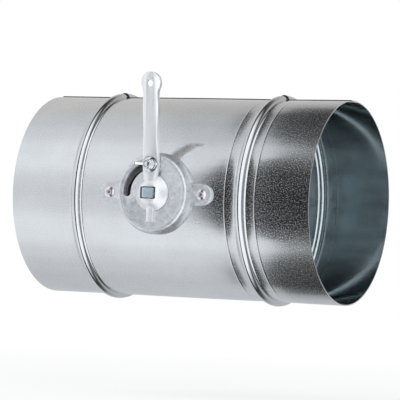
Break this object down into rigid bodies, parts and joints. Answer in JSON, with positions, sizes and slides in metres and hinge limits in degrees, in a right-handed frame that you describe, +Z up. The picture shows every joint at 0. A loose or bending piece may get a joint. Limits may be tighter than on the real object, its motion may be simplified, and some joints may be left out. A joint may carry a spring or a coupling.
{
  "type": "round air damper",
  "caption": "Round duct damper: zinc-coated tube with two beads, butterfly blade on a cross shaft, cast lever over a slotted dial, wing-nut clamp.",
  "frame": {"origin": "centre of the right spigot's end face, on the duct's axis", "axes": "+X out of the right end along the duct, +Z up, which is where the lever points with the blade closed, -Y towards the dial side"},
  "size_m": [0.2, 0.1473, 0.137],
  "materials": {
    "galvanised_tube": "zinc-coated sheet with fine spangle, satin, lengthwise rolling marks",
    "galvanised_blade": "zinc-coated sheet, satin",
    "zinc_plated_steel": "blue-passivated zinc plating, satin",
    "spring_steel": "phosphated spring steel",
    "nylon": "natural nylon, matt",
    "cast_aluminium_dial": "pressure die-cast, satin",
    "cast_aluminium_lever": "pressure die-cast, tumbled, soft satin",
    "rivet_aluminium": "bright drawn aluminium",
    "bright_zinc": "bright zinc plating"
  },
  "bodies": {
    "duct": {"duct_shell": "galvanised_tube", "dial_plate": "cast_aluminium_dial", "dial_rivet_left": "rivet_aluminium", "rivet_stem_left": "spring_steel", "dial_rivet_right": "rivet_aluminium", "rivet_stem_right": "spring_steel", "front_bush": "nylon", "rear_bush": "nylon"},
    "blade_and_lever": {"damper_blade": "galvanised_blade", "blade_shaft": "zinc_plated_steel", "blade_clip_front": "galvanised_blade", "blade_clip_rear": "galvanised_blade", "blade_rivet_front_lower": "zinc_plated_steel", "blade_rivet_front_upper": "zinc_plated_steel", "blade_rivet_rear_lower": "zinc_plated_steel", "blade_rivet_rear_upper": "zinc_plated_steel", "rear_washer": "zinc_plated_steel", "rear_clip": "spring_steel", "lever": "cast_aluminium_lever", "clamp_bolt": "bright_zinc"},
    "washer": {"clamp_washer": "bright_zinc"},
    "nut": {"wing_nut": "bright_zinc"}
  },
  "joints": [
    {"name": "blade_turn", "type": "hinge", "parent": "duct", "child": "blade_and_lever", "pos_m": [-0.1, 0, 0], "axis": [0, -1, 0], "range_deg": [0, 90]},
    {"name": "nut_travel", "type": "slide", "parent": "blade_and_lever", "child": "washer", "axis": [0, -1, 0], "range_m": [0, 0.0014]},
    {"name": "nut_turn", "type": "hinge", "parent": "washer", "child": "nut", "pos_m": [-0.1, -0.0725, 0.017], "axis": [0, -1, 0], "range_deg": [0, 720]}
  ],
  "couplings": [
    {"joint": "nut_turn", "follows": "nut_travel", "rad_per_m": 8976}
  ]
}
